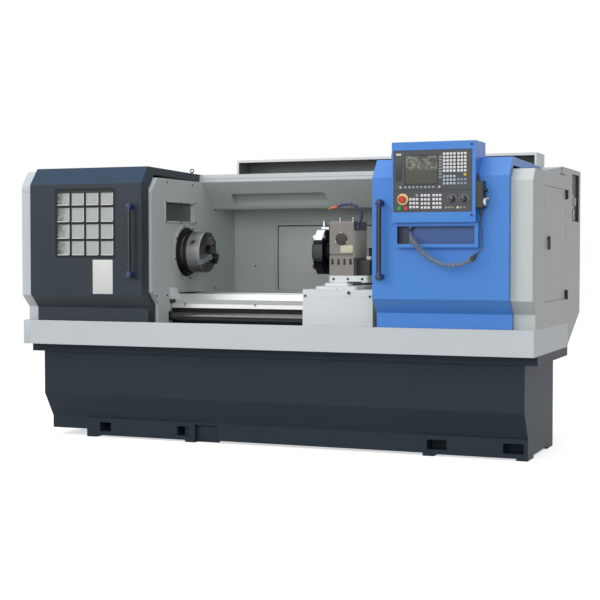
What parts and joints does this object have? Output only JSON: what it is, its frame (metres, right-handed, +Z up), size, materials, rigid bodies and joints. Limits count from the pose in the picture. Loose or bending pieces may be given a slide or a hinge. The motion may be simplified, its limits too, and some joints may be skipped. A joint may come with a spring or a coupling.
{
  "type": "cnc turning lathe",
  "caption": "Flat-bed CNC turning lathe with sliding doors, jaw chuck, indexing turret on a cross slide, tailstock, control box with pendant, chip tray and anchored base.",
  "frame": {"origin": "on the floor under the middle of the machine", "axes": "+X along the bed from headstock to tailstock, +Y from the operator to the back, +Z up"},
  "size_m": [3.1325, 1.49, 1.72],
  "materials": {
    "dark_paint": "satin textured paint, near-black blue",
    "grey_paint": "satin light grey paint",
    "dark_door_paint": "satin dark slate paint",
    "blue_paint": "satin mid blue paint",
    "cast_grey": "painted casting with ground faces",
    "machined_steel": "ground steel",
    "dark_steel": "dark oxide steel",
    "black_plastic": "matt black plastic",
    "window_glass": "clear laminated pane",
    "screen_glass": "dark display pane",
    "panel_face": "dark grey panel face",
    "red_plastic": "glossy red",
    "green_plastic": "glossy green",
    "orange_plastic": "orange nozzle",
    "blue_plastic": "blue hose segments",
    "black_rubber": "black rubber",
    "lamp_diffuser": "opal diffuser"
  },
  "bodies": {
    "machine": {"base_stand": "dark_paint", "chip_tray": "grey_paint", "bed": "cast_grey", "headstock": "cast_grey", "spindle_bearings": "machined_steel", "main_motor": "dark_paint", "drive_belts": "black_rubber", "z_motor": "black_plastic", "screw_blocks": "cast_grey", "headstock_cover": "grey_paint", "bulkhead": "grey_paint", "spindle_collar": "dark_steel", "back_wall": "grey_paint", "top_beam": "grey_paint", "work_lamp": "lamp_diffuser", "cable_duct": "grey_paint", "right_cover": "grey_paint", "side_door_hinges": "dark_steel", "electrical_cabinet": "grey_paint"},
    "spindle": {"spindle": "machined_steel", "chuck_body": "machined_steel"},
    "jaw_1": {"jaw_1": "machined_steel"},
    "jaw_2": {"jaw_2": "machined_steel"},
    "jaw_3": {"jaw_3": "machined_steel"},
    "motor_pulley": {"motor_pulley": "machined_steel"},
    "z_screw": {"z_screw": "machined_steel"},
    "carriage": {"saddle": "grey_paint", "apron": "grey_paint"},
    "cross_slide": {"cross_slide": "grey_paint", "turret_body": "grey_paint", "turret_motor": "black_plastic", "coolant_hose": "blue_plastic", "coolant_nozzle": "orange_plastic"},
    "turret": {"turret_disc": "dark_steel", "tool_blocks": "machined_steel"},
    "tailstock": {"tailstock_body": "grey_paint"},
    "quill": {"quill": "machined_steel"},
    "tailstock_handwheel": {"tailstock_handwheel": "machined_steel"},
    "left_door": {"left_door": "dark_door_paint", "left_door_window": "window_glass", "left_door_handle": "black_plastic"},
    "right_door": {"right_door": "blue_paint", "right_door_handle": "black_plastic", "control_box": "blue_paint", "control_panel": "panel_face", "screen": "screen_glass", "pendant_body": "black_plastic", "pendant_cord": "black_rubber", "pendant_lead": "black_rubber"},
    "e_stop_button": {"e_stop_button": "red_plastic"},
    "start_button": {"start_button": "green_plastic"},
    "stop_button": {"stop_button": "red_plastic"},
    "feed_knob": {"feed_knob": "black_plastic"},
    "spindle_knob": {"spindle_knob": "black_plastic"},
    "pendant_dial": {"pendant_dial": "black_plastic"},
    "side_door": {"side_door": "grey_paint"},
    "side_door_handle": {"side_door_handle": "dark_steel"},
    "isolator_switch": {"isolator_switch": "red_plastic"}
  },
  "joints": [
    {"name": "spindle_turn", "type": "hinge", "parent": "machine", "child": "spindle", "pos_m": [-0.7, -0.105, 1.13], "axis": [1, 0, 0], "continuous": true},
    {"name": "jaw_1_slide", "type": "slide", "parent": "spindle", "child": "jaw_1", "axis": [0, 0, 1], "range_m": [-0.03, 0.02]},
    {"name": "jaw_2_slide", "type": "slide", "parent": "spindle", "child": "jaw_2", "axis": [0, -0.866, -0.5], "range_m": [-0.03, 0.02]},
    {"name": "jaw_3_slide", "type": "slide", "parent": "spindle", "child": "jaw_3", "axis": [0, 0.866, -0.5], "range_m": [-0.03, 0.02]},
    {"name": "motor_pulley_turn", "type": "hinge", "parent": "machine", "child": "motor_pulley", "pos_m": [-1.45, 0.33, 0.96], "axis": [1, 0, 0], "continuous": true},
    {"name": "z_screw_turn", "type": "hinge", "parent": "machine", "child": "z_screw", "pos_m": [0.3, -0.3, 0.745], "axis": [1, 0, 0], "continuous": true},
    {"name": "carriage_slide", "type": "slide", "parent": "machine", "child": "carriage", "axis": [1, 0, 0], "range_m": [-0.52, 0.15]},
    {"name": "cross_slide_move", "type": "slide", "parent": "carriage", "child": "cross_slide", "axis": [0, 1, 0], "range_m": [-0.1, 0.16]},
    {"name": "turret_index", "type": "hinge", "parent": "cross_slide", "child": "turret", "pos_m": [0.15, 0.06, 1.13], "axis": [1, 0, 0], "continuous": true},
    {"name": "tailstock_slide", "type": "slide", "parent": "machine", "child": "tailstock", "axis": [1, 0, 0], "range_m": [-0.1, 0.1]},
    {"name": "quill_slide", "type": "slide", "parent": "tailstock", "child": "quill", "axis": [1, 0, 0], "range_m": [-0.12, 0]},
    {"name": "tailstock_wheel_turn", "type": "hinge", "parent": "tailstock", "child": "tailstock_handwheel", "pos_m": [1.28, -0.105, 1.13], "axis": [1, 0, 0], "range_deg": [0, 4320]},
    {"name": "left_door_slide", "type": "slide", "parent": "machine", "child": "left_door", "axis": [1, 0, 0], "range_m": [0, 0.7]},
    {"name": "right_door_slide", "type": "slide", "parent": "machine", "child": "right_door", "axis": [1, 0, 0], "range_m": [-0.7, 0]},
    {"name": "e_stop_press", "type": "slide", "parent": "right_door", "child": "e_stop_button", "axis": [0, 1, 0], "range_m": [0, 0.006], "stiffness_N_per_m": 900},
    {"name": "start_press", "type": "slide", "parent": "right_door", "child": "start_button", "axis": [0, 1, 0], "range_m": [0, 0.003], "stiffness_N_per_m": 500},
    {"name": "stop_press", "type": "slide", "parent": "right_door", "child": "stop_button", "axis": [0, 1, 0], "range_m": [0, 0.003], "stiffness_N_per_m": 500},
    {"name": "feed_knob_turn", "type": "hinge", "parent": "right_door", "child": "feed_knob", "pos_m": [1.152, -0.72, 1.408], "axis": [0, -1, 0], "range_deg": [-135, 135]},
    {"name": "spindle_knob_turn", "type": "hinge", "parent": "right_door", "child": "spindle_knob", "pos_m": [1.215, -0.72, 1.408], "axis": [0, -1, 0], "range_deg": [-135, 135]},
    {"name": "pendant_dial_turn", "type": "hinge", "parent": "right_door", "child": "pendant_dial", "pos_m": [1.325, -0.679, 1.392], "axis": [1, 0, 0], "continuous": true},
    {"name": "side_door_swing", "type": "hinge", "parent": "machine", "child": "side_door", "pos_m": [1.5645, 0.28, 1.17], "axis": [0, 0, 1], "range_deg": [0, 110]},
    {"name": "side_door_latch", "type": "hinge", "parent": "side_door", "child": "side_door_handle", "pos_m": [1.56, -0.22, 1.205], "axis": [1, 0, 0], "range_deg": [0, 90]},
    {"name": "isolator_turn", "type": "hinge", "parent": "machine", "child": "isolator_switch", "pos_m": [1.55, 0.554, 1.429], "axis": [1, 0, 0], "range_deg": [0, 90]}
  ],
  "couplings": [
    {"joint": "jaw_2_slide", "follows": "jaw_1_slide", "ratio": 1},
    {"joint": "jaw_3_slide", "follows": "jaw_1_slide", "ratio": 1},
    {"joint": "motor_pulley_turn", "follows": "spindle_turn", "ratio": 1.4667},
    {"joint": "z_screw_turn", "follows": "carriage_slide", "rad_per_m": 314.16},
    {"joint": "quill_slide", "follows": "tailstock_wheel_turn", "m_per_rad": -0.0015915}
  ]
}
